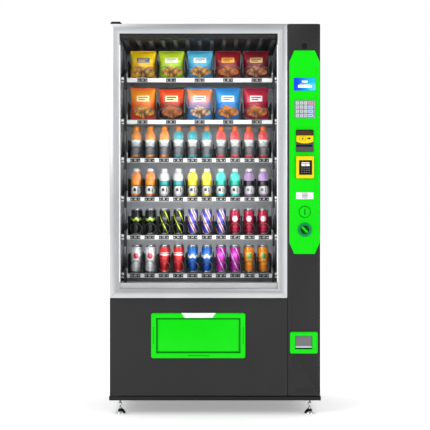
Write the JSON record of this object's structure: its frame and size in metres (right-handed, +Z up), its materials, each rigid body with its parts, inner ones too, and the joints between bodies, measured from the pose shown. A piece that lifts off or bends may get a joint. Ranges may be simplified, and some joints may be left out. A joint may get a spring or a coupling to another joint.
{
  "type": "snack vending machine",
  "caption": "Free-standing glass-front vending machine: coil trays behind a hinged door with keypad, payment column, delivery flap and coin cup.",
  "frame": {"origin": "on the floor under the middle of the machine", "axes": "+Z up, -Y out of the front, +X to the right of a customer facing the front"},
  "size_m": [1.05, 0.83, 1.95],
  "materials": {
    "charcoal_paint": "semi-gloss textured",
    "cabinet_paint": "semi-gloss",
    "black_paint": "satin",
    "white_liner": "satin",
    "steel": "brushed",
    "zinc": "bright plated",
    "anodised_trim": "satin anodised",
    "glass": "clear",
    "seal_rubber": "matt",
    "green_plastic": "gloss moulded",
    "black_plastic": "fine texture",
    "grey_plastic": "satin",
    "key_plastic": "satin",
    "screen": "lit",
    "coil_wire": "bright wire"
  },
  "bodies": {
    "root": {"cabinet_shell": "cabinet_paint", "base_frame": "black_paint", "insulated_cabin": "white_liner", "levelling_feet": "zinc", "compressor": "black_paint", "condenser": "anodised_trim", "hinge_brackets": "steel", "tray_runners": "steel"},
    "door": {"door_frame": "black_paint", "window_trim": "anodised_trim", "window_glass": "glass", "door_gasket": "seal_rubber", "lower_panel": "charcoal_paint", "control_column": "charcoal_paint", "fascia": "green_plastic", "display": "screen", "keypad_plate": "black_plastic", "bill_acceptor": "black_plastic", "card_reader": "black_plastic", "coin_entry": "steel", "lock_bowl": "green_plastic", "delivery_bezel": "green_plastic", "delivery_bin": "steel", "coin_cup": "green_plastic", "coin_mechanism": "grey_plastic"},
    "delivery_flap": {"delivery_flap": "green_plastic"},
    "coin_flap": {"coin_flap": "grey_plastic"},
    "coin_return_button": {"coin_return_button": "green_plastic"},
    "lock_handle": {"lock_handle": "zinc"},
    "tray_1": {"tray_1_deck": "steel", "tray_1_coils": "coil_wire"},
    "tray_2": {"tray_2_deck": "steel", "tray_2_coils": "coil_wire"},
    "tray_3": {"tray_3_deck": "steel", "tray_3_coils": "coil_wire"},
    "tray_4": {"tray_4_deck": "steel", "tray_4_coils": "coil_wire"},
    "tray_5": {"tray_5_deck": "steel", "tray_5_coils": "coil_wire"},
    "tray_6": {"tray_6_deck": "steel", "tray_6_coils": "coil_wire"},
    "tray_1_left_coil": {"tray_1_left_coil": "coil_wire"},
    "tray_1_right_coil": {"tray_1_right_coil": "coil_wire"},
    "tray_5_turning_coil": {"tray_5_turning_coil": "coil_wire"},
    "key_row_1_column_1": {"key_row_1_column_1": "key_plastic"},
    "key_row_1_column_2": {"key_row_1_column_2": "key_plastic"},
    "key_row_1_column_3": {"key_row_1_column_3": "key_plastic"},
    "key_row_1_column_4": {"key_row_1_column_4": "key_plastic"},
    "key_row_2_column_1": {"key_row_2_column_1": "key_plastic"},
    "key_row_2_column_2": {"key_row_2_column_2": "key_plastic"},
    "key_row_2_column_3": {"key_row_2_column_3": "key_plastic"},
    "key_row_2_column_4": {"key_row_2_column_4": "key_plastic"},
    "key_row_3_column_1": {"key_row_3_column_1": "key_plastic"},
    "key_row_3_column_2": {"key_row_3_column_2": "key_plastic"},
    "key_row_3_column_3": {"key_row_3_column_3": "key_plastic"},
    "key_row_3_column_4": {"key_row_3_column_4": "key_plastic"},
    "key_row_4_column_1": {"key_row_4_column_1": "key_plastic"},
    "key_row_4_column_2": {"key_row_4_column_2": "key_plastic"},
    "key_row_4_column_3": {"key_row_4_column_3": "key_plastic"},
    "key_row_4_column_4": {"key_row_4_column_4": "key_plastic"}
  },
  "joints": [
    {"name": "door_hinge", "type": "hinge", "parent": "root", "child": "door", "pos_m": [-0.503, -0.372, 1], "axis": [0, 0, -1], "range_deg": [0, 105]},
    {"name": "delivery_flap_hinge", "type": "hinge", "parent": "door", "child": "delivery_flap", "pos_m": [-0.0825, -0.389, 0.477], "axis": [1, 0, 0], "range_deg": [0, 60]},
    {"name": "coin_flap_hinge", "type": "hinge", "parent": "door", "child": "coin_flap", "pos_m": [0.439, -0.392, 0.389], "axis": [1, 0, 0], "range_deg": [0, 50]},
    {"name": "coin_return_press", "type": "slide", "parent": "door", "child": "coin_return_button", "axis": [0, 1, 0], "range_m": [0, 0.004], "stiffness_N_per_m": 300},
    {"name": "lock_turn", "type": "hinge", "parent": "door", "child": "lock_handle", "pos_m": [0.444, -0.39, 0.919], "axis": [0, 1, 0], "range_deg": [0, 90]},
    {"name": "tray_1_slide", "type": "slide", "parent": "root", "child": "tray_1", "axis": [0, -1, 0], "range_m": [0, 0.08]},
    {"name": "tray_2_slide", "type": "slide", "parent": "root", "child": "tray_2", "axis": [0, -1, 0], "range_m": [0, 0.08]},
    {"name": "tray_3_slide", "type": "slide", "parent": "root", "child": "tray_3", "axis": [0, -1, 0], "range_m": [0, 0.08]},
    {"name": "tray_4_slide", "type": "slide", "parent": "root", "child": "tray_4", "axis": [0, -1, 0], "range_m": [0, 0.08]},
    {"name": "tray_5_slide", "type": "slide", "parent": "root", "child": "tray_5", "axis": [0, -1, 0], "range_m": [0, 0.08]},
    {"name": "tray_6_slide", "type": "slide", "parent": "root", "child": "tray_6", "axis": [0, -1, 0], "range_m": [0, 0.08]},
    {"name": "tray_1_left_turn", "type": "hinge", "parent": "tray_1", "child": "tray_1_left_coil", "pos_m": [-0.1155, 0.05, 1.725], "axis": [0, 1, 0], "continuous": true},
    {"name": "tray_1_right_turn", "type": "hinge", "parent": "tray_1", "child": "tray_1_right_coil", "pos_m": [-0.0425, 0.05, 1.725], "axis": [0, 1, 0], "continuous": true},
    {"name": "tray_5_coil_turn", "type": "hinge", "parent": "tray_5", "child": "tray_5_turning_coil", "pos_m": [-0.1155, 0.05, 0.921], "axis": [0, 1, 0], "continuous": true},
    {"name": "press_row_1_column_1", "type": "slide", "parent": "door", "child": "key_row_1_column_1", "axis": [0, 1, 0], "range_m": [0, 0.0015], "stiffness_N_per_m": 250},
    {"name": "press_row_1_column_2", "type": "slide", "parent": "door", "child": "key_row_1_column_2", "axis": [0, 1, 0], "range_m": [0, 0.0015], "stiffness_N_per_m": 250},
    {"name": "press_row_1_column_3", "type": "slide", "parent": "door", "child": "key_row_1_column_3", "axis": [0, 1, 0], "range_m": [0, 0.0015], "stiffness_N_per_m": 250},
    {"name": "press_row_1_column_4", "type": "slide", "parent": "door", "child": "key_row_1_column_4", "axis": [0, 1, 0], "range_m": [0, 0.0015], "stiffness_N_per_m": 250},
    {"name": "press_row_2_column_1", "type": "slide", "parent": "door", "child": "key_row_2_column_1", "axis": [0, 1, 0], "range_m": [0, 0.0015], "stiffness_N_per_m": 250},
    {"name": "press_row_2_column_2", "type": "slide", "parent": "door", "child": "key_row_2_column_2", "axis": [0, 1, 0], "range_m": [0, 0.0015], "stiffness_N_per_m": 250},
    {"name": "press_row_2_column_3", "type": "slide", "parent": "door", "child": "key_row_2_column_3", "axis": [0, 1, 0], "range_m": [0, 0.0015], "stiffness_N_per_m": 250},
    {"name": "press_row_2_column_4", "type": "slide", "parent": "door", "child": "key_row_2_column_4", "axis": [0, 1, 0], "range_m": [0, 0.0015], "stiffness_N_per_m": 250},
    {"name": "press_row_3_column_1", "type": "slide", "parent": "door", "child": "key_row_3_column_1", "axis": [0, 1, 0], "range_m": [0, 0.0015], "stiffness_N_per_m": 250},
    {"name": "press_row_3_column_2", "type": "slide", "parent": "door", "child": "key_row_3_column_2", "axis": [0, 1, 0], "range_m": [0, 0.0015], "stiffness_N_per_m": 250},
    {"name": "press_row_3_column_3", "type": "slide", "parent": "door", "child": "key_row_3_column_3", "axis": [0, 1, 0], "range_m": [0, 0.0015], "stiffness_N_per_m": 250},
    {"name": "press_row_3_column_4", "type": "slide", "parent": "door", "child": "key_row_3_column_4", "axis": [0, 1, 0], "range_m": [0, 0.0015], "stiffness_N_per_m": 250},
    {"name": "press_row_4_column_1", "type": "slide", "parent": "door", "child": "key_row_4_column_1", "axis": [0, 1, 0], "range_m": [0, 0.0015], "stiffness_N_per_m": 250},
    {"name": "press_row_4_column_2", "type": "slide", "parent": "door", "child": "key_row_4_column_2", "axis": [0, 1, 0], "range_m": [0, 0.0015], "stiffness_N_per_m": 250},
    {"name": "press_row_4_column_3", "type": "slide", "parent": "door", "child": "key_row_4_column_3", "axis": [0, 1, 0], "range_m": [0, 0.0015], "stiffness_N_per_m": 250},
    {"name": "press_row_4_column_4", "type": "slide", "parent": "door", "child": "key_row_4_column_4", "axis": [0, 1, 0], "range_m": [0, 0.0015], "stiffness_N_per_m": 250}
  ],
  "couplings": [
    {"joint": "tray_1_right_turn", "follows": "tray_1_left_turn", "ratio": -1}
  ]
}
